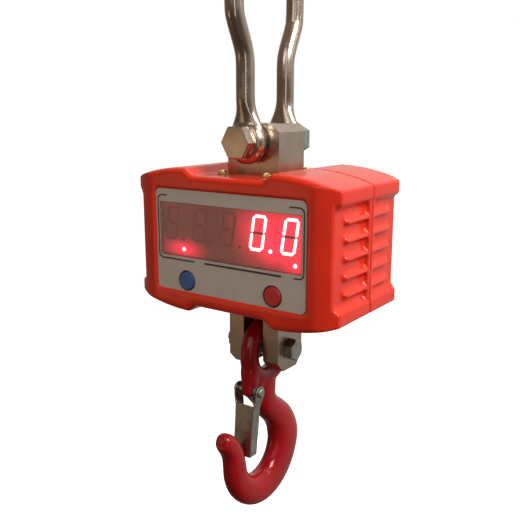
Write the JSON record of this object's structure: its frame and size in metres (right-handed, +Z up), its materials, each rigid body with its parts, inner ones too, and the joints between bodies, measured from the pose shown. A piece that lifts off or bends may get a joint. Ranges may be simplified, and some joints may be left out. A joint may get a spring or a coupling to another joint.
{
  "type": "crane scale",
  "caption": "Hanging electronic crane scale: bow shackle above, cast casing with red digit window round a steel load cell, swivelling eye hook with sprung latch below.",
  "frame": {"origin": "inside top of the shackle bow, where the scale hangs", "axes": "+Z up; -Y towards the display side; +X to the right as seen by someone reading the display"},
  "size_m": [0.2138, 0.1318, 0.5266],
  "materials": {
    "casing_enamel": "glossy",
    "hook_enamel": "glossy",
    "cell_steel": "satin",
    "shackle_steel": "polished",
    "zinc_steel": "satin",
    "yellow_zinc": "glossy",
    "label": "satin",
    "window": "glossy",
    "digit_body": "satin",
    "lamp": "glossy",
    "blue_button": "satin",
    "red_button": "satin",
    "circuit_board": "satin",
    "black_plastic": "satin",
    "battery_case": "satin",
    "seal_rubber": "matte"
  },
  "bodies": {
    "shackle": {"shackle": "shackle_steel", "shackle_bolt": "shackle_steel", "shackle_washer": "zinc_steel", "shackle_nut": "zinc_steel", "shackle_split_pin": "zinc_steel"},
    "housing": {"load_cell": "cell_steel", "gauge_cover_front": "zinc_steel", "gauge_cover_rear": "zinc_steel", "front_cover": "casing_enamel", "rear_cover": "casing_enamel", "cover_seal_left": "seal_rubber", "cover_seal_right": "seal_rubber", "top_seal": "seal_rubber", "bottom_seal": "seal_rubber", "bracket_front": "zinc_steel", "bracket_rear": "zinc_steel", "top_screw_1": "yellow_zinc", "top_screw_2": "yellow_zinc", "top_screw_3": "yellow_zinc", "top_screw_4": "yellow_zinc", "cover_screw_1": "zinc_steel", "cover_screw_2": "zinc_steel", "cover_screw_3": "zinc_steel", "cover_screw_4": "zinc_steel", "label_panel": "label", "display_window": "window", "led_digit_1": "digit_body", "led_digit_2": "digit_body", "led_digit_3": "digit_body", "led_digit_4": "digit_body", "led_digit_5": "digit_body", "stable_lamp": "lamp", "unit_lamp": "lamp", "display_board": "circuit_board", "zero_switch": "black_plastic", "power_switch": "black_plastic", "main_board": "circuit_board", "board_screw_1": "zinc_steel", "board_screw_2": "zinc_steel", "board_spacer_1": "zinc_steel", "board_spacer_2": "zinc_steel", "battery": "battery_case", "battery_clamp": "zinc_steel", "battery_door": "casing_enamel", "door_screw_1": "zinc_steel", "door_screw_2": "zinc_steel", "charge_socket": "black_plastic", "load_cell_cable": "black_plastic", "hook_bolt": "zinc_steel", "hook_nut": "zinc_steel", "hook_sleeve": "cell_steel"},
    "hook": {"hook": "hook_enamel", "latch_rivet": "zinc_steel"},
    "latch": {"latch": "zinc_steel", "latch_spring": "zinc_steel"},
    "zero_button": {"zero_button": "blue_button"},
    "power_button": {"power_button": "red_button"}
  },
  "joints": [
    {"name": "shackle_swing", "type": "hinge", "parent": "shackle", "child": "housing", "pos_m": [0, 0, -0.16], "axis": [0, 1, 0], "range_deg": [-90, 90]},
    {"name": "hook_swing", "type": "hinge", "parent": "housing", "child": "hook", "pos_m": [0, 0, -0.3499], "axis": [1, 0, 0], "range_deg": [-60, 60]},
    {"name": "latch_pivot", "type": "hinge", "parent": "hook", "child": "latch", "pos_m": [0, -0.0265, -0.3884], "axis": [1, 0, 0], "range_deg": [0, 20], "stiffness_Nm_per_rad": 0.05, "springref_deg": -17.19},
    {"name": "zero_press", "type": "slide", "parent": "housing", "child": "zero_button", "axis": [0, 1, 0], "range_m": [0, 0.0007], "stiffness_N_per_m": 800},
    {"name": "power_press", "type": "slide", "parent": "housing", "child": "power_button", "axis": [0, 1, 0], "range_m": [0, 0.0007], "stiffness_N_per_m": 800}
  ]
}
